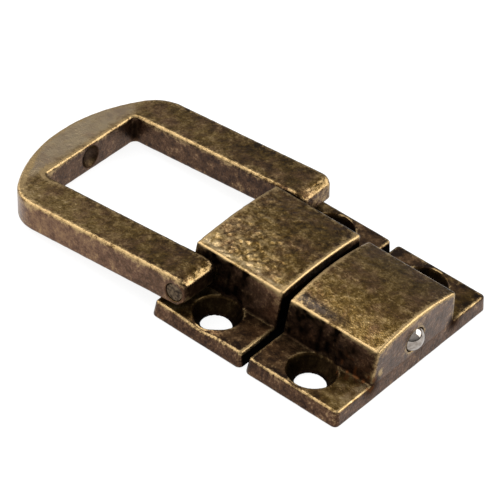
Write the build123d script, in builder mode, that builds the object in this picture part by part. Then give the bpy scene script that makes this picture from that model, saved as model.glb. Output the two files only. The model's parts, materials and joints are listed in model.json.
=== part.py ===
from build123d import *
import os
from math import asin, atan2, cos, degrees, hypot, sin, sqrt

# A swing-bail box hasp with a sprung ball catch. All sizes are in millimetres.
# Two cast halves are screwed to a box and to its lid. The bail turns on a pin in the hinge half,
# swings over the seam and snaps onto the ball in the end of the catch half.
# The origin is midway between the hinge half's screw holes, on its back face.
# +X points from the hinge half to the catch half, and +Z points away from the box.
# The bail is shown open, with its crossbar lying on the surface that the halves lie on.

# Base plates, alike on both halves, measured at their top and wider by the draft at their back
plate_length = 13.7
plate_width = 30.0
plate_thick = 2.4
plate_draft = 0.3
plate_corner_radius = 0.8
plate_top_rounding = 0.35
plate_back_rounding = 0.3
seam_gap = 1.1

# Blocks that stand on the plates, rooted at the middle of the plate's thickness
block_foot_width = 16.8
block_top_width = 15.7
hinge_block_shoulder = 7.55
hinge_block_crown = 0.5
catch_block_shoulder = 7.25
catch_block_crown = 1.0
block_rounding = 0.4

# Countersunk screw holes, one each side of a block
screw_from_block = 2.8
screw_hole_diameter = 4.0
screw_head_diameter = 6.4
screw_head_angle = 66.0

# Hinge pin
pin_diameter = 2.5
pin_inset = 2.4
pin_running_clearance = 0.05
pin_end_recess = 0.1
pin_end_chamfer = 0.12

# Bail
arm_width = 6.0
arm_above_pin = 2.3
arm_below_pin = 1.95
arm_end_reach = 1.75
arm_end_corner_radius = 0.9
arm_heel_past_corner = 0.3
arm_side_clearance = 0.2
arm_fold_clearance = 0.15
crossbar_width = 5.2
crossbar_end_clearance = 0.3
nose_radius = 21.7
nose_corner_radius = 5.4
window_corner_radius = 0.7
bail_rounding = 0.45

# Ball, its bore and its spring
ball_diameter = 3.5
ball_height = 4.55
ball_seat_clearance = 0.02
mouth_diameter = 3.4
lip_depth = 0.35
bore_diameter = 3.6
bore_depth = 9.0
dimple_clearance = 0.1
spring_wire = 0.4
spring_turns = 6
spring_bore_clearance = 0.2
spring_end_clearance = 0.03

# Places that follow from the sizes
plate_half_length = plate_length / 2
catch_center_x = plate_length + seam_gap
catch_end_x = catch_center_x + plate_half_length
screw_y = block_foot_width / 2 + screw_from_block
pin_x = pin_inset - plate_half_length
pin_z = plate_thick + arm_fold_clearance + arm_above_pin
pin_radius = pin_diameter / 2
window_half_width = block_foot_width / 2 + arm_side_clearance
bail_half_width = window_half_width + arm_width
window_reach = catch_end_x - pin_x + crossbar_end_clearance
bail_reach = window_reach + crossbar_width
arm_height = arm_above_pin + arm_below_pin
ball_radius = ball_diameter / 2
ball_depth = lip_depth + sqrt(ball_radius**2 - (mouth_diameter / 2) ** 2) + ball_seat_clearance
ball_x = catch_end_x - ball_depth

# The open bail droops until the rounded lower edge of its nose touches the surface it lies on
nose_u = bail_reach - bail_rounding
nose_v = arm_below_pin - bail_rounding
droop = asin((pin_z - bail_rounding) / hypot(nose_u, nose_v)) - atan2(nose_v, nose_u)

# The bail's own directions: u runs from the pin to the crossbar, v from its underside to its top
u_direction = (-cos(droop), 0, -sin(droop))
v_direction = (-sin(droop), 0, cos(droop))
bail_flat = Plane((pin_x, 0, pin_z), x_dir=u_direction, z_dir=v_direction)
bail_side = Plane((pin_x, 0, pin_z), x_dir=u_direction, z_dir=(0, 1, 0))

os.makedirs("parts", exist_ok=True)


# A block: drafted sides, a crowned top and rounded edges
def make_block(center_x, shoulder_height, crown):
    foot = block_foot_width / 2
    shoulder = block_top_width / 2
    draft = (foot - shoulder) / (shoulder_height - plate_thick)
    root = foot + draft * plate_thick / 2
    with BuildPart() as block:
        with BuildSketch(Plane.YZ.offset(center_x - plate_half_length)):
            with BuildLine():
                Polyline(
                    (-shoulder, shoulder_height),
                    (-root, plate_thick / 2),
                    (root, plate_thick / 2),
                    (shoulder, shoulder_height),
                )
                ThreePointArc(
                    (shoulder, shoulder_height),
                    (0, shoulder_height + crown),
                    (-shoulder, shoulder_height),
                )
            make_face()
        extrude(amount=plate_length)
        sides = block.faces().sort_by(Axis.Y)
        ends = block.faces().sort_by(Axis.X)
        outline = sides[0].edges() + sides[-1].edges()
        outline += ends[0].edges().sort_by(Axis.Z)[-1:] + ends[-1].edges().sort_by(Axis.Z)[-1:]
        fillet(outline.filter_by(lambda edge: edge.center().Z > plate_thick), block_rounding)
    return block.part


# A plate with its block and its two countersunk screw holes
def make_half(center_x, block):
    with BuildPart() as half:
        with BuildSketch():
            with Locations((center_x, 0)):
                RectangleRounded(
                    plate_length + 2 * plate_draft,
                    plate_width + 2 * plate_draft,
                    plate_corner_radius,
                )
        extrude(amount=plate_thick, taper=degrees(atan2(plate_draft, plate_thick)))
        fillet(half.faces().sort_by(Axis.Z)[-1].edges(), plate_top_rounding)
        fillet(half.faces().sort_by(Axis.Z)[0].edges(), plate_back_rounding)
        add(block)
        with Locations((center_x, -screw_y, plate_thick), (center_x, screw_y, plate_thick)):
            CounterSinkHole(
                screw_hole_diameter / 2,
                screw_head_diameter / 2,
                counter_sink_angle=screw_head_angle,
            )
    return half.part


# Hinge half: the pin's bore runs across the block
hinge_blank = make_half(0, make_block(0, hinge_block_shoulder, hinge_block_crown))
with BuildPart() as hinge_plate:
    add(hinge_blank)
    with BuildSketch(Plane.XZ):
        with Locations((pin_x, pin_z)):
            Circle(pin_radius + pin_running_clearance)
    extrude(amount=bail_half_width, both=True, mode=Mode.SUBTRACT)
hinge_plate.part.label = "hinge_plate"
export_step(hinge_plate.part, "parts/hinge_plate.step")

# Catch half: a blind bore in the block's end, narrowed at its mouth by a lip that keeps the ball in
catch_blank = make_half(
    catch_center_x, make_block(catch_center_x, catch_block_shoulder, catch_block_crown)
)
bore_plane = Plane((catch_end_x, 0, ball_height), x_dir=(0, 1, 0), z_dir=(1, 0, 0))
with BuildPart() as catch_plate:
    add(catch_blank)
    with BuildSketch(bore_plane):
        Circle(mouth_diameter / 2)
    extrude(amount=-lip_depth, mode=Mode.SUBTRACT)
    with BuildSketch(bore_plane.offset(-lip_depth)):
        Circle(bore_diameter / 2)
    extrude(amount=lip_depth - bore_depth, mode=Mode.SUBTRACT)
catch_plate.part.label = "catch_plate"
export_step(catch_plate.part, "parts/catch_plate.step")

# Ball, seated against the lip with its front standing proud of the block's end
with BuildPart() as detent_ball:
    with Locations((ball_x, 0, ball_height)):
        Sphere(ball_radius)
detent_ball.part.label = "detent_ball"
export_step(detent_ball.part, "parts/detent_ball.step")

# Spring: a coil from the bore's floor to the back of the ball
spring_radius = bore_diameter / 2 - spring_bore_clearance - spring_wire / 2
spring_start_x = catch_end_x - bore_depth + spring_wire / 2 + spring_end_clearance
ball_contact = sqrt((ball_radius + spring_wire / 2) ** 2 - spring_radius**2)
spring_end_x = ball_x - ball_contact - spring_end_clearance
spring_length = spring_end_x - spring_start_x
with BuildPart() as detent_spring:
    with BuildLine() as coil:
        Helix(
            spring_length / spring_turns,
            spring_length,
            spring_radius,
            center=(spring_start_x, 0, ball_height),
            direction=(1, 0, 0),
        )
    with BuildSketch(coil.line ^ 0):
        Circle(spring_wire / 2)
    sweep(path=coil.line, is_frenet=True)
detent_spring.part.label = "detent_spring"
export_step(detent_spring.part, "parts/detent_spring.step")

# Bail: a flat outline with a curved nose and an open window, cut to its side profile.
# An arm's end is round about the pin, then flat, with a sloping heel under it, so that it clears
# the plate all the way over. All edges are rounded but those that run along v and the line above
# the pin, where an arm's top goes smoothly over into its end.
# The dimple in the crossbar's inner face is where the ball comes to lie when the bail is shut.
# Two directions or two places count as the same within this limit.
same_limit = 0.01
dimple_u = ball_x - pin_x
dimple_v = pin_z - ball_height
arm_end_v = sqrt(arm_above_pin**2 - arm_end_reach**2)
arm_heel_flat = arm_end_corner_radius + arm_heel_past_corner
nose_start_u = bail_reach - nose_radius + sqrt(nose_radius**2 - bail_half_width**2)
with BuildPart() as bail:
    with BuildSketch(bail_flat.offset(-arm_below_pin)) as bail_outline:
        with BuildLine():
            Polyline(
                (nose_start_u, -bail_half_width),
                (-arm_end_reach, -bail_half_width),
                (-arm_end_reach, bail_half_width),
                (nose_start_u, bail_half_width),
            )
            ThreePointArc((nose_start_u, bail_half_width), (bail_reach, 0), (nose_start_u, -bail_half_width))
        make_face()
        fillet(bail_outline.vertices().group_by(Axis.X)[-1], nose_corner_radius)
        with Locations((window_reach / 2 - arm_above_pin, 0)):
            Rectangle(window_reach + 2 * arm_above_pin, 2 * window_half_width, mode=Mode.SUBTRACT)
        window_corners = bail_outline.vertices().filter_by_position(
            Axis.Y, -window_half_width, window_half_width
        )
        fillet(window_corners.group_by(Axis.X)[-1], window_corner_radius)
        fillet(bail_outline.vertices().group_by(Axis.X)[0], arm_end_corner_radius)
    extrude(amount=arm_height)
    with BuildSketch(bail_side):
        with BuildLine():
            RadiusArc((-arm_end_reach, arm_end_v), (0, arm_above_pin), arm_above_pin)
            Polyline(
                (-arm_end_reach, arm_end_v),
                (-arm_end_reach, arm_heel_flat - arm_below_pin),
                (arm_heel_flat - arm_end_reach, -arm_below_pin),
                (bail_reach, -arm_below_pin),
                (bail_reach, arm_above_pin),
                (0, arm_above_pin),
            )
        make_face()
    extrude(amount=bail_half_width, both=True, mode=Mode.INTERSECT)
    across = Vector(*v_direction)
    above_pin = bail_flat.from_local_coords(Vector(0, 0, arm_above_pin))
    rims = bail.edges().filter_by(lambda edge: abs(edge.tangent_at().dot(across)) < 1 - same_limit)
    rims = rims.filter_by(
        lambda edge: (edge.center() - above_pin).cross(Vector(0, 1, 0)).length > same_limit
    )
    fillet(rims, bail_rounding)
    with BuildSketch(Plane.XZ):
        with Locations((pin_x, pin_z)):
            Circle(pin_radius)
    extrude(amount=bail_half_width, both=True, mode=Mode.SUBTRACT)
    with Locations(bail_flat.from_local_coords(Vector(dimple_u, 0, dimple_v))):
        Sphere(ball_radius + dimple_clearance, mode=Mode.SUBTRACT)
bail.part.label = "bail"
export_step(bail.part, "parts/bail.step")

# Pin: pressed into both arms, its ends a little below their outer faces
with BuildPart() as hinge_pin:
    with BuildSketch(Plane.XZ):
        with Locations((pin_x, pin_z)):
            Circle(pin_radius)
    extrude(amount=bail_half_width - pin_end_recess, both=True)
    chamfer(hinge_pin.faces().filter_by(Axis.Y).edges(), pin_end_chamfer)
hinge_pin.part.label = "hinge_pin"
export_step(hinge_pin.part, "parts/hinge_pin.step")

print("The bail turns", round(degrees(droop) + 180, 3), "degrees about", round(pin_x, 3), round(pin_z, 3))
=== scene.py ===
# %% [markdown]
# # A swing-bail box hasp in antique bronze
# The real hasp is cast in zinc, plated with brass, blackened and then tumbled, so that its edges and
# high spots shine again while its hollows stay dark. The frame loaded here holds its exact solids.
# This lesson lays an even skin over each casting, works out where it is worn, where it is grimy and where
# shade is painted into its colour, makes the steel ball and its spring, and sets up a plain white studio.

# %% Load the frame
import json
import math
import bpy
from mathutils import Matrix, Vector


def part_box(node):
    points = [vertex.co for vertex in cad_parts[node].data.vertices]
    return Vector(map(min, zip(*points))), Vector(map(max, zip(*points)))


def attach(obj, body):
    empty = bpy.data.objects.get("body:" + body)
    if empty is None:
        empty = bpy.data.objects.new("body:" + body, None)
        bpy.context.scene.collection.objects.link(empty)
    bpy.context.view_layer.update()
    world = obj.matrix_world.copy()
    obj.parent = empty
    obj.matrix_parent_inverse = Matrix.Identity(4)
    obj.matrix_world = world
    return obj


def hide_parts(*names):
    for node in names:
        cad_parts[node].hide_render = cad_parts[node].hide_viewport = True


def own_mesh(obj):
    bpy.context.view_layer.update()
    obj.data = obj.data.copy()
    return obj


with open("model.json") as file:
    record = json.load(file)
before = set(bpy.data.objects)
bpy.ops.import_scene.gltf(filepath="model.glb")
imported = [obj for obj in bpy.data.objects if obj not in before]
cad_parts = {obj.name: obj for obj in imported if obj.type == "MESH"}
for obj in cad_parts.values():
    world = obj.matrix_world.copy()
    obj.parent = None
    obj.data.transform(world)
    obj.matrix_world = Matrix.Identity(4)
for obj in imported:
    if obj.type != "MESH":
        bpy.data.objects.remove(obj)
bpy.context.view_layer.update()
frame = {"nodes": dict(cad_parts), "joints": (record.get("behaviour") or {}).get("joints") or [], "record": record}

from types import SimpleNamespace

import bmesh
import bpy
import numpy as np
from mathutils import Matrix, Vector

# %% [markdown]
# ## Places on the hasp
# The pin, the ball and the screw holes are read from the frame, so that the wear lies where the solids
# are. The other sizes are the solids' own, written here because the frame has no names for them. The
# bail has directions of its own: u runs from the pin along its arms to the crossbar, and v runs up
# through its thickness. It droops a little, because its nose lies on the table.

# %% Places and sizes
MM = 0.001
swing = next(joint for joint in frame["joints"] if joint["name"] == "bail_swing")
pin = np.array(swing["pos_m"])
droop = math.radians(swing["range_deg"][1] - 180)
along_bail = np.array([-math.cos(droop), 0, -math.sin(droop)])
through_bail = np.array([-math.sin(droop), 0, math.cos(droop)])
ball_low, ball_high = (np.array(corner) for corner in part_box("detent_ball"))
ball_center = (ball_low + ball_high) / 2
ball_radius = (ball_high - ball_low).min() / 2
screws = [mount for mount in frame["record"]["mounts"] if mount["kind"] == "bolt_pattern"]
screw_places = np.array([
    [mount["pos_m"][0], side * mount["dims"]["spacing_y_mm"] / 2 * MM]
    for mount in screws
    for side in (-1, 1)
])
plate_top = 2.4 * MM
block_foot = 8.4 * MM
hinge_shoulder = 7.55 * MM
catch_shoulder = 7.25 * MM
countersink_radius = 3.2 * MM
crossbar_start = 26.4 * MM
arm_inside = 8.6 * MM
pin_radius = 1.25 * MM
print("pin", pin, "droop", round(math.degrees(droop), 3), "ball", ball_center, ball_radius)

# %% [markdown]
# ## Helpers that work on whole arrays
# Wear follows shape. Where the normals of neighbouring points open outwards the surface is an edge, and
# where they close together it is a corner that keeps its dirt. These helpers measure that for all the
# points of a mesh at once, with no loop over vertices.

# %% Array helpers
shortest_edge = 0.001 * MM


def smooth_step(low, high, values):
    """0 below low, 1 above high, and the cubic 3t^2 - 2t^3 between them."""
    t = np.clip((values - low) / (high - low), 0, 1)
    return t * t * (3 - 2 * t)


def blend(start, end, share):
    """Start where the share is 0, end where it is 1, and in proportion between."""
    return start + (end - start) * share


def bell(values, middle, width):
    """A bell curve: e to the minus square of the way from the middle, counted in widths."""
    return np.exp(-(((values - middle) / width) ** 2))


def read_skin(mesh):
    """Points, normals and edge ends of a mesh as arrays."""
    points = np.empty(3 * len(mesh.vertices))
    mesh.vertices.foreach_get("co", points)
    normals = np.empty(3 * len(mesh.vertices))
    mesh.vertex_normals.foreach_get("vector", normals)
    pairs = np.empty(2 * len(mesh.edges), dtype=np.int32)
    mesh.edges.foreach_get("vertices", pairs)
    return points.reshape(-1, 3), normals.reshape(-1, 3), pairs.reshape(-1, 2)


def spread(values, pairs, rounds):
    """Averages each point with its neighbours, some rounds over."""
    count = np.bincount(pairs.ravel(), minlength=len(values)) + 1
    for _ in range(rounds):
        total = values.copy()
        total += np.bincount(pairs[:, 0], values[pairs[:, 1]], len(values))
        total += np.bincount(pairs[:, 1], values[pairs[:, 0]], len(values))
        values = total / count
    return values


def bend_of(points, normals, pairs):
    """Curvature per point, in 1/m: the turn of the normal along each edge over the edge's length squared,
    averaged over the edges that meet there. It is positive on an outer edge and negative in a hollow."""
    step = points[pairs[:, 1]] - points[pairs[:, 0]]
    turn = normals[pairs[:, 1]] - normals[pairs[:, 0]]
    value = (step * turn).sum(axis=1) / np.maximum((step * step).sum(axis=1), shortest_edge**2)
    total = np.bincount(pairs.ravel(), np.repeat(value, 2), len(points))
    return total / np.bincount(pairs.ravel(), minlength=len(points))


def lattice_noise(points, size, seed):
    """Random heights from 0 to 1 on a lattice of that size, blended smoothly between its corners."""
    cell = points / size
    low = np.floor(cell).astype(int)
    part = cell - low
    part = part * part * (3 - 2 * part)
    low -= low.min(axis=0)
    heights = np.random.default_rng(seed).random(low.max(axis=0) + 2)
    total = np.zeros(len(points))
    for corner in np.ndindex(2, 2, 2):
        share = np.prod(np.where(corner, part, 1 - part), axis=1)
        total += share * heights[tuple((low + corner).T)]
    return total


print("helpers ready")

# %% [markdown]
# ## An even skin for a casting
# A CAD mesh has long thin triangles on its flats, which can carry neither dents nor wear. A copy is
# merged, remeshed into small squares and pulled back onto the solid's surface. It then has the solid's
# own shape, with a point about every seventh of a millimetre.

# %% Skin maker
skin_spacing = 0.15 * MM
merge_distance = 0.0005 * MM


def casting_skin(node_name, piece_name):
    """A remeshed copy of a CAD node, pulled onto the node's own surface."""
    node = frame["nodes"][node_name]
    rough = node.data.copy()
    shell = bmesh.new()
    shell.from_mesh(rough)
    bmesh.ops.remove_doubles(shell, verts=shell.verts, dist=merge_distance)
    shell.to_mesh(rough)
    shell.free()
    piece = bpy.data.objects.new(piece_name, rough)
    bpy.context.scene.collection.objects.link(piece)
    squares = piece.modifiers.new("squares", "REMESH")
    squares.mode = "VOXEL"
    squares.voxel_size = skin_spacing
    pull = piece.modifiers.new("pull", "SHRINKWRAP")
    pull.target = node
    pull.wrap_method = "NEAREST_SURFACEPOINT"
    graph = bpy.context.evaluated_depsgraph_get()
    mesh = bpy.data.meshes.new_from_object(piece.evaluated_get(graph))
    piece.modifiers.clear()
    piece.data = mesh
    mesh.name = piece_name
    mesh.materials.clear()
    mesh.polygons.foreach_set("use_smooth", np.ones(len(mesh.polygons), dtype=bool))
    return piece


def write_skin(piece, points, marks):
    """Puts moved points and per-point marks, such as wear, into a piece's mesh."""
    piece.data.vertices.foreach_set("co", points.ravel())
    for name, values in marks.items():
        mark = piece.data.attributes.new(name, "FLOAT", "POINT")
        mark.data.foreach_set("value", values.astype(np.float32))
    piece.data.update()
    print(piece.name, len(points), "points", {name: round(float(v.mean()), 3) for name, v in marks.items()})


# %% [markdown]
# ## Wear that every casting shares
# Tumbling brightens outer edges and leaves inner corners dark with patina, and the hollows are darkened
# further with painted shade. Upright walls get less of it than tops, and keep a redder brown. The edges are
# rounded by about half a millimetre, so their curvature is near two per millimetre across the edge and
# nothing along it, one on average. A wider, weaker band beside each edge is rubbed as well. The edges that
# face +Y, away from the front lamp, are given less wear as painted shade, so they shine less.
# A band is a pair of limits: a share is 0 at the first, 1 at the second, and rises smoothly between.

# %% Shared wear
edge_bend = 1 / (1.2 * MM)
flat_bend = 1 / (6 * MM)
shaded_side_direction = np.array([-0.2, 0.98, 0.0])
upward_band = (0.05, 0.6)
shaded_side_band = (0.0, 0.45)
upright_band = (0.25, 0.8)
edge_rounds = 2
beside_rounds = 30
hollow_rounds = 6
edge_wear = 0.5
wall_wear = 0.75
shaded_side_wear = 0.2


def shared_marks(points, normals, pairs, up, breadth):
    """Edge wear, grime and painted shade in the hollows, and uprightness of every point of a casting.
    breadth is how strongly the band beside an edge is rubbed."""
    bend = spread(bend_of(points, normals, pairs), pairs, edge_rounds)
    edge = smooth_step(flat_bend, edge_bend, bend)
    beside = spread(edge, pairs, beside_rounds)
    facing = blend(wall_wear, 1, smooth_step(*upward_band, normals @ up))
    # Painted shade: edges facing +Y, away from the front lamp, keep less of their bare brass.
    lit_side = blend(1, shaded_side_wear, smooth_step(*shaded_side_band, normals @ shaded_side_direction))
    wear = np.clip(edge_wear * edge + breadth * beside, 0, 1) * facing * lit_side
    # Hollows get the patina's own dark and, with it, painted shade.
    grime_and_shade = smooth_step(flat_bend, edge_bend, -bend)
    upright = smooth_step(*upright_band, 1 - np.abs(normals @ up))
    return wear, spread(grime_and_shade, pairs, hollow_rounds), upright


print("edge bend", round(edge_bend), "flat bend", round(flat_bend))

# %% [markdown]
# ## The two plates with their blocks
# Each plate is one casting. Its block's top is bright and uneven, as if it had been hammered, most of
# all on the hinge half near the bail. The flat of the plate and the countersinks are much darker,
# because tumbling hardly reaches them. First come the places on a plate, as distances and as shares
# from 0 to 1. The marks are then worked out from these places.

# %% Places on a plate
up_axis = np.array([0, 0, 1.0])
plate_half_length = 6.85 * MM
block_half_width = 7.85 * MM
near_left_reach = 14 * MM
countersink_lip = 0.2 * MM
foot_band = (plate_top, plate_top + 0.3 * MM)
top_band = (-1.2 * MM, -0.5 * MM)
facing_band = (0.6, 0.9)
seam_facing_band = (0.9, 0.98)
beside_block_band = (block_foot, block_foot + 0.6 * MM)
lip_height_band = (plate_top - 0.65 * MM, plate_top - 0.25 * MM)
lip_edge_band = (plate_half_length - 0.65 * MM, plate_half_length - 0.25 * MM)
lip_near_band = (block_foot - 1 * MM, block_foot + 4 * MM)


def plate_places(points, normals, center_x, shoulder, seam_side):
    """Where each point of a plate lies. seam_side is 1 on the hinge half, whose seam lies towards +X,
    and -1 on the catch half."""
    at = SimpleNamespace(x=points[:, 0] - center_x, y=points[:, 1], z=points[:, 2])
    at.to_seam = at.x * seam_side
    at.on_hinge = seam_side > 0
    at.above_plate = smooth_step(*foot_band, at.z)
    at.on_top = smooth_step(*top_band, at.z - shoulder)
    at.right_half = smooth_step(0, plate_half_length, at.x)
    at.near_left = np.clip((-at.x - at.y) / near_left_reach, -1, 1)
    at.from_screw = np.min(np.hypot(*(points[:, None, :2] - screw_places).transpose(2, 0, 1)), axis=1)
    at.from_foot = np.hypot(np.abs(at.y) - block_foot, at.z - plate_top)
    at.flat = smooth_step(*facing_band, normals[:, 2]) * (1 - at.on_top)
    at.flat *= at.from_screw > countersink_radius - countersink_lip
    at.block_side = smooth_step(*facing_band, np.abs(normals[:, 1])) * at.above_plate
    at.seam_face = smooth_step(*seam_facing_band, normals[:, 0] * seam_side) * (1 - at.on_top)
    at.seam_lip = smooth_step(*lip_height_band, at.z) * (1 - at.above_plate) * at.on_hinge
    at.seam_lip *= smooth_step(*beside_block_band, np.abs(at.y))
    at.seam_lip *= smooth_step(*lip_edge_band, at.to_seam) * smooth_step(*lip_near_band, -at.y)
    return at


print("places measured from screws at", screw_places.tolist())

# %% [markdown]
# ## Wear on the plates
# The wear of the edges is held back round the screws, low on the walls and in the seam. Rubbed places come
# on top of it: the lip of the seam, the high spots of the hammered top, a bright line along the block's
# foot and round each countersink, and one bare spot on the catch half's end.

# %% Wear on the plates
patch_size = 1.8 * MM
patch_seed = 8
patch_band = (0.3, 0.6)
rubbed_place = np.array([21.65, -6.8, 3.5]) * MM
rubbed_size = np.array([0.5, 0.45, 0.6]) * MM
foot_line_place = block_foot + 0.25 * MM
foot_line_width = 0.14 * MM
rim_line_place = countersink_radius + 0.1 * MM
rim_line_width = 0.16 * MM
screw_band = (countersink_radius + 0.7 * MM, countersink_radius + 0.1 * MM)
low_band = (0.9 * MM, 0.5 * MM)
seam_band = (plate_half_length - 1.2 * MM, plate_half_length - 0.4 * MM)
hammered_wear_band = (-0.9, 0.6)
wear_by_screw = 0.1
wear_low = 0.2
wear_in_seam = 0.4
wear_on_plate_wall = 0.5
wear_on_plate = 0.8
wear_on_block = 0.95
wear_on_lip = 0.95
wear_hammered = 0.36
wear_on_lines = 0.8
wear_on_spot = 1.15


def plate_wear(at, points, wear, upright, rough, rubbed):
    """The wear of a plate's edges, held back in some places and raised to that of the rubbed places."""
    wear = wear * blend(1, wear_by_screw, smooth_step(*screw_band, at.from_screw))
    wear *= blend(1, wear_low, smooth_step(*low_band, at.z))
    wear *= blend(wear_on_plate, wear_on_block, at.on_top)
    wear *= blend(1, wear_on_plate_wall, upright * (1 - at.above_plate))
    in_seam = smooth_step(*seam_band, at.to_seam) * at.above_plate * (1 - at.on_top)
    wear *= blend(1, wear_in_seam, in_seam)
    foot_line = bell(np.abs(at.y), foot_line_place, foot_line_width)
    rim_line = bell(at.from_screw, rim_line_place, rim_line_width)
    patchy = smooth_step(*patch_band, lattice_noise(points, patch_size, patch_seed))
    return np.max([
        wear,
        wear_on_lip * at.seam_lip,
        wear_hammered * rough * smooth_step(*hammered_wear_band, at.near_left),
        wear_on_lines * at.flat * patchy * np.maximum(foot_line, rim_line),
        wear_on_spot * rubbed,
    ], axis=0)


print("bare spot at", rubbed_place)

# %% [markdown]
# ## Grime, painted shade, rust and hammering on the plates
# Grime and painted shade fill the countersinks and the corner along the block's foot, painted shade darkens
# the block's sides in blotches and paints the seam black. A little rust shows by the catch block's foot. The
# hammering is strongest at the near left corner of a block's top and weaker close to its edges.

# %% Grime, painted shade, rust and hammering on the plates
rust_size = 0.5 * MM
rust_seed = 9
sunk_band = (0.05 * MM, 0.4 * MM)
foot_grime_and_shade_band = (2.2 * MM, 0.2 * MM)
rust_foot_band = (3.5 * MM, 0.5 * MM)
rust_near_band = (2 * MM, -2 * MM)
rust_right_band = (0.0, 3 * MM)
rust_spot_band = (0.6, 0.8)
hammer_band = (-0.6, 0.7)
hammer_edge_band = (0.3 * MM, 1.3 * MM)
# Strengths of grime and painted shade; the block's sides and the seam get painted shade only.
grime_and_shade_in_countersink = 0.85
grime_and_shade_at_foot = 0.6
side_shade = 0.7
side_shade_mottle = 0.8
side_shade_by_seam = 0.28
least_hammered = 0.3
hammered_at_edge = 0.25


def plate_grime_and_shade(at, grime_and_shade, mottle, hammered):
    """Grime and painted shade in the hollows, in the countersinks and at the block's foot, and painted shade on
    its sides and in the seam.
    """
    sunk = smooth_step(*sunk_band, plate_top - at.z) * (at.from_screw < countersink_radius)
    blotches = side_shade + side_shade_mottle * mottle
    return np.max([
        grime_and_shade,
        grime_and_shade_in_countersink * sunk,
        grime_and_shade_at_foot * smooth_step(*foot_grime_and_shade_band, at.from_foot),
        # Painted shade on the block's sides, in blotches, less towards the seam on the hammered block.
        blotches * at.block_side * blend(1, side_shade_by_seam, hammered * at.right_half),
        # Painted shade: the seam face is painted black, except at its worn lip.
        at.seam_face * (1 - at.seam_lip),
    ], axis=0)


def plate_rust(at, points, hammered):
    """Spots of rust along the near foot of the block, towards +X."""
    by_foot = smooth_step(*rust_foot_band, at.from_foot) * smooth_step(*rust_near_band, at.y)
    spots = smooth_step(*rust_spot_band, lattice_noise(points, rust_size, rust_seed))
    return by_foot * smooth_step(*rust_right_band, at.x) * spots * (1 - hammered)


def plate_rough(at, hammered):
    """How much each point is hammered. hammered is 1 for the rougher block."""
    from_edge = np.minimum(block_half_width - np.abs(at.y), plate_half_length - np.abs(at.x))
    rough = at.on_top * hammered * blend(least_hammered, 1, smooth_step(*hammer_band, at.near_left))
    return rough * blend(hammered_at_edge, 1, smooth_step(*hammer_edge_band, from_edge))


print("rust spots of", round(rust_size / MM, 2), "mm")

# %% [markdown]
# ## Tone of the plates
# The tone says how light the patina is before any wear: lighter on the tops and at the outer ends, darker
# on the far flats, blotchy where the tumbling missed it. One corner of the catch block stays cool and dark.
# Beside the seam the flats are browner.

# %% Tone of the plates
mottle_size = 1.1 * MM
coarse_seed = 5
fine_seed = 6
fine_mottle = 0.7
near_flat_band = (3 * MM, -3 * MM)
far_flat_band = (0, 3 * MM)
cool_line_place = 1.2 * MM - block_half_width
cool_line_width = 0.9 * MM
cool_corner_band = (4 * MM, -5 * MM)
edge_line_place = 0.9 * MM - block_half_width
edge_line_width = 0.6 * MM
brown_band = (-5 * MM, 2 * MM)
brown_share = 0.65
cool_share = 0.5
plain_tone = 0.3
end_flat_tone = 0.46
end_wall_tone = 0.1
wall_tone = -0.02
top_tone = 0.2
hammered_tone = 0.02
near_left_tone = 0.19
mottle_tone = 0.55
hammered_flat_tone = 0.07
far_flat_tone = -0.1
side_tone = 0.28
side_mottle_tone = 0.6
edge_line_tone = 0.32
brown_tone = -0.06
cool_tone = -0.75


def plate_tone(at, upright, mottle, browner, cool, hammered):
    """How light the patina of a plate is, added up from its places."""
    at_end = smooth_step(0, plate_half_length, -at.to_seam) * (1 - at.on_top)
    at_end *= np.maximum(upright, smooth_step(*near_flat_band, at.y))
    tone = plain_tone + wall_tone * upright + at_end * blend(end_flat_tone, end_wall_tone, upright)
    tone += at.on_top * (top_tone + (hammered_tone + near_left_tone * at.near_left) * hammered)
    tone += mottle_tone * mottle * (1 - at.on_top) * (1 - upright)
    tone += (hammered_flat_tone * hammered + far_flat_tone * smooth_step(*far_flat_band, at.y)) * at.flat
    tone += (side_tone + side_mottle_tone * mottle) * at.block_side * hammered * at.right_half
    tone += edge_line_tone * bell(at.y, edge_line_place, edge_line_width) * at.on_top * at.on_hinge
    return tone + brown_tone * browner * (1 - hammered) + cool_tone * cool


print("plain tone", plain_tone)

# %% All the marks of a plate
plate_breadth = 0.4
block_breadth = 1.2
plate_speck = 0.6
smooth_top_speck = 0.5


def plate_marks(points, normals, pairs, center_x, shoulder, seam_side, hammered):
    """The marks of a plate, from wear to rust, and how much each point is hammered."""
    at = plate_places(points, normals, center_x, shoulder, seam_side)
    breadth = blend(plate_breadth, block_breadth, at.above_plate)
    wear, grime_and_shade, upright = shared_marks(points, normals, pairs, up_axis, breadth)
    coarse = lattice_noise(points, mottle_size, coarse_seed)
    fine = lattice_noise(points, mottle_size / 2, fine_seed)
    mottle = coarse + fine_mottle * fine - (1 + fine_mottle) / 2
    rough = plate_rough(at, hammered)
    rubbed = np.exp(-(((points - rubbed_place) / rubbed_size) ** 2).sum(axis=1))
    browner = brown_share * at.flat * smooth_step(*brown_band, at.to_seam)
    cool = bell(at.y, cool_line_place, cool_line_width) * smooth_step(*cool_corner_band, at.x)
    cool *= at.on_top * (1 - hammered)
    redder = np.maximum(upright, browner) * (1 - rubbed)
    speckled = np.maximum(at.on_top * blend(smooth_top_speck, 1, hammered), redder)
    marks = {
        "wear": plate_wear(at, points, wear, upright, rough, rubbed),
        "grime_and_shade": plate_grime_and_shade(at, grime_and_shade, mottle, hammered),
        "upright": redder,
        "tone": plate_tone(at, upright, mottle, browner, cool, hammered),
        "cool": cool_share * cool,
        "speck": blend(plate_speck, 1, speckled),
        "rust": plate_rust(at, points, hammered),
    }
    return marks, rough


print("marks ready for the plates")

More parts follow.
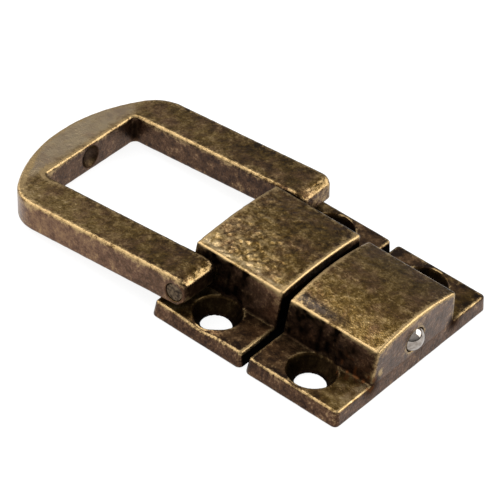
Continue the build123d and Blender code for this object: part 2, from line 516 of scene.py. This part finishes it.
# %% [markdown]
# ## Dents
# The block's top looks like crumpled foil: small flat facets that tip in all directions. A jittered grid
# of centres gives such facets, each point taking the tilted plane of the centre nearest to it. The thin
# wall between the hinge half's near countersink and its front edge has also sunk a little. Every dent
# goes inwards, so the casting never grows.

# %% Dents
hammer_depth = 0.4 * MM
facet_size = 0.72 * MM
facet_stretch = np.array([1, 1.35])
draws_per_facet = 5
facet_crest = 0.8
ripple_depth = 0.03 * MM
ripple_size = 2.2 * MM
sunk_depth = 0.42 * MM
sunk_length = 2.4 * MM
sunk_front_band = (countersink_radius - 0.8 * MM, countersink_radius + 0.3 * MM)
sunk_height_band = (0.5 * MM, plate_top)


def hammer_facets(points, seed):
    """Height and shade of the facet that each point lies on, both from 0 to 1. The facets are the cells
    nearest to the jittered centres of a grid. A height is the centre's own tilt times the way from it.
    Of a facet's draws, two shift its centre, two tilt it and the last is its shade."""
    flat = points[:, :2] / (facet_size * facet_stretch)
    cell = np.floor(flat).astype(int)
    cell -= cell.min(axis=0) - 1
    flat = flat - np.floor(flat) + cell
    draw = np.random.default_rng(seed).random((*(cell.max(axis=0) + 2), draws_per_facet))
    nearest = np.full(len(points), np.inf)
    height = np.zeros(len(points))
    shade = np.zeros(len(points))
    for step in np.ndindex(3, 3):
        home = cell + step - 1
        chance = draw[tuple(home.T)]
        way = flat - home - chance[:, :2]
        distance = np.hypot(*way.T)
        closer = distance < nearest
        nearest = np.where(closer, distance, nearest)
        tilt = ((chance[:, 2:4] - 0.5) * way).sum(axis=1)
        height = np.where(closer, 0.5 + tilt, height)
        shade = np.where(closer, chance[:, -1], shade)
    return np.clip(height, 0, 1), shade


def dented(points, normals, heights, rough, seed):
    """Points pushed inwards: broad ripples everywhere, and dents where the casting is rough."""
    ripples = lattice_noise(points, ripple_size, seed)
    depth = ripple_depth * ripples + hammer_depth * np.clip(facet_crest - heights, 0, 1) * rough
    return points - normals * depth[:, None]


def sunk_wall(points, screw):
    """Points lowered in front of a countersink by a bell curve along X that fades towards the screw."""
    along = bell(points[:, 0], screw[0], sunk_length)
    outside = smooth_step(*sunk_front_band, screw[1] - points[:, 1])
    high = smooth_step(*sunk_height_band, points[:, 2])
    return points - up_axis * (sunk_depth * along * outside * high)[:, None]


print("dents up to", round(hammer_depth / MM, 2), "mm deep")

# %% Hinge and catch castings
plain_facet_shade = 0.08
rough_facet_shade = 0.3
facet_height_tone = 0.6
crest_band = (0.55, 0.8)
wear_on_crests = 0.55
least_dented = 0.06
plate_pieces = []
for node_name, center_x, shoulder, seam_side, hammered, seed in (
    ("hinge_plate", screws[0]["pos_m"][0], hinge_shoulder, 1, 1.0, 11),
    ("catch_plate", screws[1]["pos_m"][0], catch_shoulder, -1, 0.3, 23),
):
    piece = casting_skin(node_name, node_name.replace("plate", "casting"))
    points, normals, pairs = read_skin(piece.data)
    marks, rough = plate_marks(points, normals, pairs, center_x, shoulder, seam_side, hammered)
    heights, shades = (spread(values, pairs, 1) for values in hammer_facets(points, seed))
    marks["tone"] += (shades - 0.5) * blend(plain_facet_shade, rough_facet_shade, rough)
    marks["tone"] += (heights - 0.5) * facet_height_tone * rough
    crests = wear_on_crests * rough * smooth_step(*crest_band, heights)
    marks["wear"] = np.maximum(marks["wear"], crests)
    points = dented(points, normals, heights, np.maximum(rough, least_dented), seed)
    if node_name == "hinge_plate":
        points = sunk_wall(points, screw_places[0])
    write_skin(piece, points, marks)
    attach(piece, "plates")
    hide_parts(node_name)
    plate_pieces.append(piece)

# %% [markdown]
# ## The bail
# Fingers rub the crossbar, so its top is lighter and greyer than the arms, and the round ends of the arms
# are worn bright where they turn past the plate. Its marks use the bail's own directions, so they stay in
# place however far it droops.

# %% Places on the bail
crossbar_band = (crossbar_start - 0.3 * MM, crossbar_start + 1.6 * MM)
nose_band = (22 * MM, 27 * MM)
nose_near_band = (-5 * MM, -9 * MM)
corner_band = (arm_inside - 1 * MM, arm_inside + 4 * MM)
end_band = (-0.6 * MM, -1.1 * MM)
end_top_band = (1.2 * MM, 1.6 * MM)
end_face_band = (-1.3 * MM, -1.6 * MM)
end_face_low_band = (1.5 * MM, 1.2 * MM)
dimple_u = ball_center[0] - pin[0]
dimple_v = pin[2] - ball_center[2]


def bail_places(points):
    """Where each point of the bail lies: u along its arms, v through its thickness and y across it."""
    at = SimpleNamespace(u=(points - pin) @ along_bail, v=(points - pin) @ through_bail, y=points[:, 1])
    at.from_pin = np.hypot(at.u, at.v)
    at.from_dimple = np.sqrt((at.u - dimple_u) ** 2 + (at.v - dimple_v) ** 2 + at.y**2)
    at.crossbar = smooth_step(*crossbar_band, at.u)
    at.corner = smooth_step(*corner_band, np.abs(at.y))
    at.nose_left = smooth_step(*nose_band, at.u) * smooth_step(*nose_near_band, at.y)
    at.end = smooth_step(*end_band, at.u) * smooth_step(*end_top_band, at.v)
    at.end_face = smooth_step(*end_face_band, at.u) * smooth_step(*end_face_low_band, at.v)
    return at


print("dimple at u", round(dimple_u / MM, 2), "mm, v", round(dimple_v / MM, 2), "mm")

# %% Wear, grime and painted shade on the bail
pin_wear_band = (pin_radius + 0.2 * MM, pin_radius + 0.6 * MM)
dimple_wear_band = (ball_radius + 0.2 * MM, ball_radius + 0.7 * MM)
dimple_grime_and_shade_band = (ball_radius + 0.3 * MM, ball_radius)
underside_band = (-1.0 * MM, -1.5 * MM)
by_block_band = (6 * MM, 2 * MM)
by_block_edge_band = (arm_inside + 1.2 * MM, arm_inside + 0.4 * MM)
pin_ring_width = 0.2 * MM
pit_place = np.array([-3.8, 8.65, 7.1]) * MM
pit_size = 0.4 * MM
wear_on_arms = 0.64
more_on_crossbar = 0.26
more_on_nose = 0.1
less_on_underside = 0.6
wear_by_block = 0.55
wear_on_end = 0.42
wear_and_light_on_far_end_face = 0.4
# Strengths of grime and painted shade; the pin's ring and the near end face get painted shade only.
shade_round_pin = 0.35
grime_and_shade_in_dimple = 0.92
shade_on_near_end_face = 0.6
grime_and_shade_in_pit = 0.75


def bail_wear(at, wear):
    """The wear of the bail's edges, less by the pin, the dimple, the block and below, more on the nose."""
    wear = wear * smooth_step(*pin_wear_band, at.from_pin)
    wear *= smooth_step(*dimple_wear_band, at.from_dimple)
    strength = wear_on_arms + more_on_crossbar * at.crossbar + more_on_nose * at.nose_left
    wear *= strength - less_on_underside * smooth_step(*underside_band, at.v)
    by_block = smooth_step(*by_block_band, at.u) * smooth_step(*by_block_edge_band, at.y) * (at.y > 0)
    wear *= blend(1, wear_by_block, by_block)
    # The far arm's end face is worn, and painted lighter as if lit by the lamp behind on the right.
    return np.max([wear, wear_on_end * at.end, wear_and_light_on_far_end_face * at.end_face * (at.y > 0)], axis=0)


def bail_grime_and_shade(at, points, grime_and_shade):
    """Grime and painted shade in the hollows, in the dimple and in one pit, and painted shade round the pin and on
    the near end face.
    """
    return np.max([
        grime_and_shade,
        # Painted shade: a dark ring round the pin's bore.
        shade_round_pin * bell(at.from_pin, pin_radius, pin_ring_width) * (at.u > 0),
        grime_and_shade_in_dimple * smooth_step(*dimple_grime_and_shade_band, at.from_dimple),
        # Painted shadow on the near arm's end face.
        shade_on_near_end_face * at.end_face * (at.y < 0),
        grime_and_shade_in_pit * np.exp(-((points - pit_place) ** 2).sum(axis=1) / pit_size**2),
    ], axis=0)


print("pit at", pit_place)

# %% Tone of the bail
arm_middle = arm_inside + 3 * MM
length_band = (2 * MM, 20 * MM)
past_block_band = (4 * MM, 9 * MM)
across_arm_band = (-0.5 * MM, 2.5 * MM)
inside_band = (arm_inside + 0.8 * MM, arm_inside + 0.3 * MM)
arm_tone = 0.44
arm_length_tone = 0.2
crossbar_tone = 0.4
corner_loss = 0.7
far_arm_tone = -0.1
far_edge_tone = -0.09
inside_loss = 0.42
bail_wall_tone = 0.02
crossbar_wall_tone = -0.08


def bail_tone(at, upright):
    """How light the bail's patina is: lighter towards the crossbar, darker on the far arm and inside."""
    tone = arm_tone + arm_length_tone * smooth_step(*length_band, at.u)
    tone += crossbar_tone * at.crossbar * (1 - corner_loss * at.corner)
    far_arm = smooth_step(0, arm_inside, at.y) * smooth_step(*past_block_band, at.u)
    far_edge = smooth_step(*across_arm_band, at.y - np.sign(at.y) * arm_middle)
    tone += (far_arm_tone * far_arm + far_edge_tone * far_edge) * (1 - at.crossbar)
    inside = upright * smooth_step(*inside_band, np.abs(at.y))
    on_walls = blend(bail_wall_tone, crossbar_wall_tone, at.crossbar) * upright
    return tone * (1 - inside_loss * inside) + on_walls


print("arm tone", arm_tone)

# %% Bail casting
bail_seed = 37
bail_breadth = 1.2
nose_breadth = 5
crossbar_cool = 0.85
bail_facet_shade = 0.14
crossbar_facet_loss = 0.7
bail_dented = 0.14
end_dented = 0.4
arm_speck = 0.95
crossbar_speck = 0.7
bail_piece = casting_skin("bail", "bail_casting")
points, normals, pairs = read_skin(bail_piece.data)
at = bail_places(points)
breadth = bail_breadth + nose_breadth * at.nose_left
wear, grime_and_shade, upright = shared_marks(points, normals, pairs, through_bail, breadth)
heights, shades = (spread(values, pairs, 1) for values in hammer_facets(points, bail_seed))
facet_shade = bail_facet_shade * (1 - upright) * (1 - crossbar_facet_loss * at.crossbar)
marks = {
    "wear": bail_wear(at, wear),
    "grime_and_shade": bail_grime_and_shade(at, points, grime_and_shade),
    "upright": upright,
    "tone": bail_tone(at, upright) + (shades - 0.5) * facet_shade,
    "cool": crossbar_cool * at.crossbar * (1 - at.corner),
    "speck": blend(arm_speck, crossbar_speck, at.crossbar),
    "rust": np.zeros(len(points)),
}
points = dented(points, normals, heights, bail_dented * (1 - upright) + end_dented * at.end, bail_seed)
write_skin(bail_piece, points, marks)
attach(bail_piece, "bail")
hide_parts("bail")

# %% [markdown]
# ## The ball
# A bearing ball is the plainest surface of two parameters: its longitude and its latitude. The two poles
# are single points, so that the skin is closed, and they lie on the Y axis, out of sight in the bore.

# %% Steel ball
ball_around = 96
ball_rings = 48


def surface_piece(name, points, faces):
    """A smooth piece from points and faces."""
    mesh = bpy.data.meshes.new(name)
    mesh.from_pydata(points, [], faces)
    mesh.polygons.foreach_set("use_smooth", np.ones(len(mesh.polygons), dtype=bool))
    mesh.update()
    piece = bpy.data.objects.new(name, mesh)
    bpy.context.scene.collection.objects.link(piece)
    return piece


def ball_surface(center, radius, around, rings):
    """A sphere: longitude runs round the Y axis, latitude runs from one pole on it to the other."""
    longitude = np.arange(around) * math.tau / around
    latitude = (np.arange(1, rings) / rings - 0.5) * math.pi
    lon, lat = np.meshgrid(longitude, latitude)
    grid = np.stack([np.cos(lat) * np.cos(lon), np.sin(lat), np.cos(lat) * np.sin(lon)], axis=-1)
    points = np.concatenate([grid.reshape(-1, 3), [[0, -1, 0], [0, 1, 0]]]) * radius + center
    here = np.arange(around)
    after = (here + 1) % around
    start = (np.arange(rings - 2) * around)[:, None]
    quads = np.stack([start + here, start + here + around, start + after + around, start + after], axis=-1)
    first_pole = (rings - 1) * around
    last_start = first_pole - around
    low_fan = np.stack([here, after, np.full(around, first_pole)], axis=-1)
    high_fan = np.stack([last_start + after, last_start + here, np.full(around, first_pole + 1)], axis=-1)
    return points, quads.reshape(-1, 4).tolist() + low_fan.tolist() + high_fan.tolist()


ball_points, ball_faces = ball_surface(ball_center, ball_radius, ball_around, ball_rings)
ball_piece = surface_piece("steel_ball", ball_points, ball_faces)
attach(ball_piece, "detent_ball")
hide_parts("detent_ball")
print("ball faces", len(ball_faces))

# %% [markdown]
# ## The spring
# A wire wound into a coil pushes the ball out. Its middle line is a screw line round the bore's axis, and
# the wire is a circle carried along that line.

# %% Coil spring
wire_radius = 0.2 * MM
spring_turns = 6
coil_steps = 289
wire_sides = 16


def coil_surface(start, length, radius, wire, turns, steps, around):
    """A coil round a line along X: a circle of the wire's radius is carried along a screw line, square
    to it, and each end is closed by a fan round its middle."""
    share = np.linspace(0, 1, steps)
    angle = share * turns * math.tau
    flat = np.zeros(steps)
    outward = np.stack([flat, np.cos(angle), np.sin(angle)], axis=-1)
    middle = start + outward * radius + np.stack([share * length, flat, flat], axis=-1)
    climb = flat + length / (turns * math.tau)
    onward = np.stack([climb, -radius * np.sin(angle), radius * np.cos(angle)], axis=-1)
    onward /= np.linalg.norm(onward, axis=1, keepdims=True)
    sideways = np.cross(onward, outward)
    turn = (np.arange(around) * math.tau / around)[None, :, None]
    ring = outward[:, None] * np.cos(turn) + sideways[:, None] * np.sin(turn)
    points = np.concatenate([(middle[:, None] + wire * ring).reshape(-1, 3), middle[[0, -1]]])
    here = np.arange(around)
    after = (here + 1) % around
    first = (np.arange(steps - 1) * around)[:, None]
    quads = np.stack([first + here, first + after, first + after + around, first + here + around], axis=-1)
    last = (steps - 1) * around
    start_fan = np.stack([after, here, np.full(around, steps * around)], axis=-1)
    end_fan = np.stack([last + here, last + after, np.full(around, steps * around + 1)], axis=-1)
    return points, quads.reshape(-1, 4).tolist() + start_fan.tolist() + end_fan.tolist()


spring_low, spring_high = (np.array(corner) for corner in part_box("detent_spring"))
spring_length = spring_high[0] - spring_low[0]
spring_start = np.array([spring_low[0] + wire_radius, ball_center[1], ball_center[2]])
coil_radius = (spring_high[2] - spring_low[2]) / 2 - wire_radius
coil_points, coil_faces = coil_surface(
    spring_start, spring_length - 2 * wire_radius, coil_radius, wire_radius,
    spring_turns, coil_steps, wire_sides,
)
spring_piece = surface_piece("steel_spring", coil_points, coil_faces)
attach(spring_piece, "plates")
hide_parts("detent_spring")
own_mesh(spring_piece)

# %% [markdown]
# ## Colours and nodes
# A colour is written as it looks on a screen and turned to the linear light that Blender reckons with.
# One helper adds a node, sets its options, and gives each input either a value or a link. Short ones add
# the nodes that are used most: noise, a sum, a change of range, a mix of colours and a colour ramp.

# %% Material helpers
MIX_FACTOR = 0
MIX_A = 6
MIX_B = 7
MIX_COLOR = 2


def linear(hex_color):
    """An sRGB hex colour as linear red, green, blue and alpha. The sRGB curve is a straight line for the
    darkest values and a power of 2.4 for the rest."""
    values = np.array([int(hex_color[i:i + 2], 16) for i in (1, 3, 5)]) / 255
    light = np.where(values <= 0.04045, values / 12.92, ((values + 0.055) / 1.055) ** 2.4)
    return (*light, 1.0)


def add(tree, kind, inputs=None, **settings):
    """Adds a node, sets its options, and fills its inputs with values or links."""
    node = tree.nodes.new(kind)
    for name, value in settings.items():
        setattr(node, name, value)
    for key, value in (inputs or {}).items():
        if isinstance(value, bpy.types.NodeSocket):
            tree.links.new(value, node.inputs[key])
        else:
            node.inputs[key].default_value = value
    return node


def noise(tree, place, size, **inputs):
    """Cloudy noise whose pattern has that size."""
    return add(tree, "ShaderNodeTexNoise", {"Vector": place, "Scale": 1 / size, **inputs}).outputs["Fac"]


def reckon(tree, operation, *values, **settings):
    """The result of a sum, such as ADD, on values or links."""
    return add(tree, "ShaderNodeMath", dict(enumerate(values)), operation=operation, **settings).outputs[0]


def ranged(tree, value, source, target=(0.0, 1.0), **settings):
    """A value carried from one range to another."""
    return add(tree, "ShaderNodeMapRange", {
        "Value": value, "From Min": source[0], "From Max": source[1],
        "To Min": target[0], "To Max": target[1],
    }, **settings).outputs["Result"]


def mixed(tree, share, first, second):
    """Two colours mixed, with that share of the second."""
    return add(tree, "ShaderNodeMix", {
        MIX_FACTOR: share, MIX_A: first, MIX_B: second,
    }, data_type="RGBA").outputs[MIX_COLOR]


def ramp(tree, value, stops):
    """A colour ramp from pairs of a place and a hex colour."""
    node = add(tree, "ShaderNodeValToRGB", {"Fac": value})
    elements = node.color_ramp.elements
    while len(elements) > 1:
        elements.remove(elements[-1])
    elements[0].position = stops[0][0]
    elements[0].color = linear(stops[0][1])
    for place, color in stops[1:]:
        elements.new(place).color = linear(color)
    return node.outputs["Color"]


def new_material(name):
    """An empty node material."""
    material = bpy.data.materials.new(name)
    material.use_nodes = True
    material.node_tree.nodes.clear()
    return material


def dress(piece, material):
    """Gives a piece one material."""
    piece.data.materials.clear()
    piece.data.materials.append(material)


print("middle grey is", [round(value, 3) for value in linear("#808080")])

# %% [markdown]
# ## Antique bronze
# Brass plating, blackened with a sulphide dip and tumbled. To the eye it is a dark olive brown metal with
# paler flecks where the black came off, redder on upright walls, bare warm brass along the edges and
# nearly black in the corners. The flecks are about four tenths of a millimetre wide with finer grains
# between them, the cloudy patches that they gather in are over a millimetre, and the reddish stains are
# about three. Fine scratches run two ways, and a few spots are rusty. Grime and painted shade darken the
# colour, and the same mask dims the metal's sheen, which paints shade into its reflections as well.

# %% Antique bronze
fleck_size = 0.42 * MM
cloud_size = 1.3 * MM
stain_size = 3.0 * MM
grain_size = 0.2 * MM
scratch_width = 0.14 * MM
scratch_length = 1.6 * MM
scratch_size = (scratch_width, scratch_length, scratch_length)
scratch_turns = (math.radians(-35), math.radians(50))
relief_depth = 0.05 * MM
relief_strength = 0.6
noise_band = (0.3, 0.7)
cloud_reach = 0.2
fleck_reach = 0.13
grain_reach = 0.08
scratch_band = (0.65, 0.78)
scratch_reach = 0.16
scratch_wander = 0.8
pattern_roughness = 0.65
stain_band = (0.4, 0.65)
stain_red = (-0.15, 0.6)
ragged_reach = 1.6
bare_band = (0.15, 0.9)
patina_roughness = 0.29
brass_roughness = 0.34
grime_roughness = 0.3
metal_share = 0.95
brass_color = "#a68c62"
grime_and_shade_color = "#0c0704"
clean_sheen = "#ffffff"
rust_color = "#5c361b"
cool_color = "#7f746b"
top_stops = ((0.0, "#170e04"), (0.25, "#35250b"), (0.5, "#5c4722"), (0.75, "#8b7348"), (1.0, "#bba47c"))
wall_stops = ((0.1, "#2a1c15"), (0.4, "#523b2a"), (0.55, "#644938"), (0.8, "#83654a"))
mark_names = ("wear", "grime_and_shade", "upright", "tone", "cool", "speck", "rust")


def scratched(tree, place, level):
    """The level raised along two sets of fine scratches."""
    for turn in scratch_turns:
        along = add(tree, "ShaderNodeMapping", {
            "Vector": place, "Rotation": (0, 0, turn), "Scale": scratch_size,
        }, vector_type="TEXTURE").outputs["Vector"]
        streaks = noise(tree, along, 1.0, Detail=1.0, Distortion=scratch_wander)
        level = reckon(tree, "ADD", level, ranged(tree, streaks, scratch_band, (0.0, scratch_reach)))
    return level


def antique_bronze(name):
    """Antique bronze whose tone, wear, grime and painted shade come from the marks on the piece."""
    material = new_material(name)
    tree = material.node_tree
    place = add(tree, "ShaderNodeTexCoord").outputs["Object"]
    marks = {
        mark: add(tree, "ShaderNodeAttribute", attribute_name=mark).outputs["Fac"] for mark in mark_names
    }
    clouds = noise(tree, place, cloud_size, Detail=4.0, Roughness=pattern_roughness)
    flecks = noise(tree, place, fleck_size, Detail=2.0, Roughness=pattern_roughness)
    stains = noise(tree, place, stain_size, Detail=4.0, Roughness=pattern_roughness)
    grains = noise(tree, place, grain_size, Detail=1.0)
    cloud_shift, fleck_shift, grain_shift = (
        ranged(tree, pattern, noise_band, (-reach, reach))
        for pattern, reach in ((clouds, cloud_reach), (flecks, fleck_reach), (grains, grain_reach))
    )
    shift = reckon(tree, "ADD", reckon(tree, "ADD", cloud_shift, fleck_shift), grain_shift)
    level = scratched(tree, place, reckon(tree, "MULTIPLY_ADD", shift, marks["speck"], marks["tone"]))
    reddish = ranged(tree, stains, stain_band, stain_red)
    redder = reckon(tree, "MAXIMUM", marks["upright"], reddish, use_clamp=True)
    patina = mixed(tree, redder, ramp(tree, level, top_stops), ramp(tree, level, wall_stops))
    cooled = reckon(tree, "MULTIPLY", marks["cool"], clouds)
    patina = mixed(tree, cooled, patina, linear(cool_color))
    ragged = reckon(tree, "MULTIPLY_ADD", shift, ragged_reach, marks["wear"])
    bare = ranged(tree, ragged, bare_band, interpolation_type="SMOOTHSTEP")
    worn = mixed(tree, bare, patina, linear(brass_color))
    # Grime and painted shade darken the colour towards near black.
    dirty_and_shaded = mixed(tree, marks["grime_and_shade"], worn, linear(grime_and_shade_color))
    rusty = mixed(tree, marks["rust"], dirty_and_shaded, linear(rust_color))
    # The sheen dims under the same mask: painted shade on the reflections.
    shaded_sheen = mixed(tree, marks["grime_and_shade"], linear(clean_sheen), linear(grime_and_shade_color))
    gloss = ranged(tree, bare, (0.0, 1.0), (patina_roughness, brass_roughness))
    roughness = reckon(tree, "MULTIPLY_ADD", marks["grime_and_shade"], grime_roughness, gloss)
    relief = reckon(tree, "ADD", flecks, grains)
    bump = add(tree, "ShaderNodeBump", {
        "Height": relief, "Strength": relief_strength, "Distance": relief_depth,
    }).outputs["Normal"]
    shader = add(tree, "ShaderNodeBsdfPrincipled", {
        "Base Color": rusty, "Metallic": metal_share, "Roughness": roughness, "Normal": bump,
        "Specular Tint": shaded_sheen,
    })
    add(tree, "ShaderNodeOutputMaterial", {"Surface": shader.outputs["BSDF"]})
    return material


plate_bronze = antique_bronze("antique_bronze_plates")
bail_bronze = antique_bronze("antique_bronze_bail")
for piece in plate_pieces:
    dress(piece, plate_bronze)
dress(bail_piece, bail_bronze)
print("bronze nodes", len(plate_bronze.node_tree.nodes))

# %% [markdown]
# ## Steel
# The pin went through the same plating as the castings and is dull brown on its ends. The ball is
# hardened steel, polished by its making, and the spring is plain drawn wire. A light cloudiness keeps
# each from looking like a perfect mirror.

# %% Steel finishes
smear_size = 0.5 * MM
smear_band = (0.35, 0.65)


def plain_steel(name, light_color, dark_color, roughness_range):
    """Steel of two near colours in clouds, rougher where it is darker."""
    material = new_material(name)
    tree = material.node_tree
    place = add(tree, "ShaderNodeTexCoord").outputs["Object"]
    clouds = ranged(tree, noise(tree, place, smear_size, Detail=4.0), smear_band)
    shader = add(tree, "ShaderNodeBsdfPrincipled", {
        "Base Color": mixed(tree, clouds, linear(light_color), linear(dark_color)),
        "Metallic": 1.0,
        "Roughness": ranged(tree, clouds, (0.0, 1.0), roughness_range),
    })
    add(tree, "ShaderNodeOutputMaterial", {"Surface": shader.outputs["BSDF"]})
    return material


dress(ball_piece, plain_steel("polished_ball_steel", "#b0a8a0", "#8a8179", (0.03, 0.08)))
dress(spring_piece, plain_steel("drawn_spring_wire", "#b8b8ba", "#8c8c90", (0.25, 0.4)))
pin_steel = plain_steel("plated_pin_steel", "#6d5c47", "#261c15", (0.35, 0.55))
for slot in frame["nodes"]["hinge_pin"].material_slots:
    slot.material = pin_steel
print("steel on ball, pin and spring")

# %% [markdown]
# ## The studio
# A shop picture has a white table and soft light from all round. The floor is white and gives off a little
# light of its own to camera, mirror and glass rays, so that it reads as white while the hasp's shadow
# still shows on it. The sky is brighter overhead than at the horizon, as in a room with a pale ceiling.

# %% Floor and sky
floor_half = 0.6
paper_color = "#7c7c7c"
paper_roughness = 0.9
paper_glow = 0.88
white = "#ffffff"
sky_heights = (0.05, 0.75)
sky_strengths = (0.12, 0.78)

floor_mesh = bpy.data.meshes.new("floor")
floor_corners = np.array([(-1, -1, 0), (1, -1, 0), (1, 1, 0), (-1, 1, 0)]) * floor_half
floor_mesh.from_pydata(floor_corners, [], [(0, 1, 2, 3)])
floor = bpy.data.objects.new("floor", floor_mesh)
bpy.context.scene.collection.objects.link(floor)

paper = new_material("white_paper")
tree = paper.node_tree
rays = add(tree, "ShaderNodeLightPath").outputs
seen = reckon(tree, "MAXIMUM", rays["Is Camera Ray"], rays["Is Glossy Ray"])
seen = reckon(tree, "MAXIMUM", seen, rays["Is Transmission Ray"])
shader = add(tree, "ShaderNodeBsdfPrincipled", {
    "Base Color": linear(paper_color), "Roughness": paper_roughness, "Specular IOR Level": 0.0,
    "Emission Color": linear(white), "Emission Strength": reckon(tree, "MULTIPLY", seen, paper_glow),
})
add(tree, "ShaderNodeOutputMaterial", {"Surface": shader.outputs["BSDF"]})
dress(floor, paper)

sky = bpy.data.worlds.new("soft_room")
bpy.context.scene.world = sky
sky.use_nodes = True
tree = sky.node_tree
tree.nodes.clear()
direction = add(tree, "ShaderNodeTexCoord").outputs["Generated"]
height = add(tree, "ShaderNodeSeparateXYZ", {"Vector": direction}).outputs["Z"]
strength = ranged(tree, height, sky_heights, sky_strengths)
background = add(tree, "ShaderNodeBackground", {"Color": linear(white), "Strength": strength})
add(tree, "ShaderNodeOutputWorld", {"Surface": background.outputs["Background"]})
print("floor", floor_half * 2, "m wide")

# %% [markdown]
# ## Light and camera
# Four square soft boxes hang round the hasp, where its bright edges face: overhead on the left, in front
# on the left, behind on the right, and low on the left. Their places and widths are in metres.
# The camera stands where the picture was taken from: its bearing, height, tilt and lens were worked out
# from the edges of the plates.

# %% Soft boxes
hasp_place = (0, 0, 0)


def aim(place, target):
    """A matrix at a place whose -Z points at a target."""
    way = Vector(target) - Vector(place)
    return Matrix.Translation(place) @ way.to_track_quat("-Z", "Y").to_matrix().to_4x4()


for name, place, width, watts in (
    ("soft_box_above", (-0.25, 0.02, 0.5), 0.3, 1.0),
    ("soft_box_front", (-0.3, -0.42, 0.32), 0.6, 1.65),
    ("soft_box_right", (0.34, 0.37, 0.3), 0.45, 2.5),
    ("soft_box_left", (-0.52, -0.03, 0.26), 0.35, 1.2),
):
    soft_box = bpy.data.lights.new(name, "AREA")
    soft_box.shape = "SQUARE"
    soft_box.size = width
    soft_box.energy = watts
    lamp = bpy.data.objects.new(name, soft_box)
    lamp.matrix_world = aim(place, hasp_place)
    bpy.context.scene.collection.objects.link(lamp)
    print(name, watts, "W")

# %% Camera
camera_bearing = math.radians(35.13)
camera_height = math.radians(40.16)
camera_tilt = math.radians(6.63)
camera_place = np.array([164.28, -239.38, 250.08]) * MM
camera_lens = 221.04
sensor_width = 36.0
nearest_seen = 10 * MM

level = np.array([math.cos(camera_bearing), math.sin(camera_bearing), 0])
back = np.array([
    math.sin(camera_bearing) * math.cos(camera_height),
    -math.cos(camera_bearing) * math.cos(camera_height),
    math.sin(camera_height),
])
raised = np.cross(back, level)
right = math.cos(camera_tilt) * level + math.sin(camera_tilt) * raised
camera_data = bpy.data.cameras.new("camera")
camera_data.lens = camera_lens
camera_data.sensor_width = sensor_width
camera_data.clip_start = nearest_seen
camera = bpy.data.objects.new("camera", camera_data)
turn = Matrix(np.stack([right, np.cross(back, right), back], axis=1).tolist()).to_4x4()
camera.matrix_world = Matrix.Translation(camera_place) @ turn
bpy.context.scene.collection.objects.link(camera)
bpy.context.scene.camera = camera
bpy.context.scene.view_settings.view_transform = "Standard"
print("camera at", camera_place)
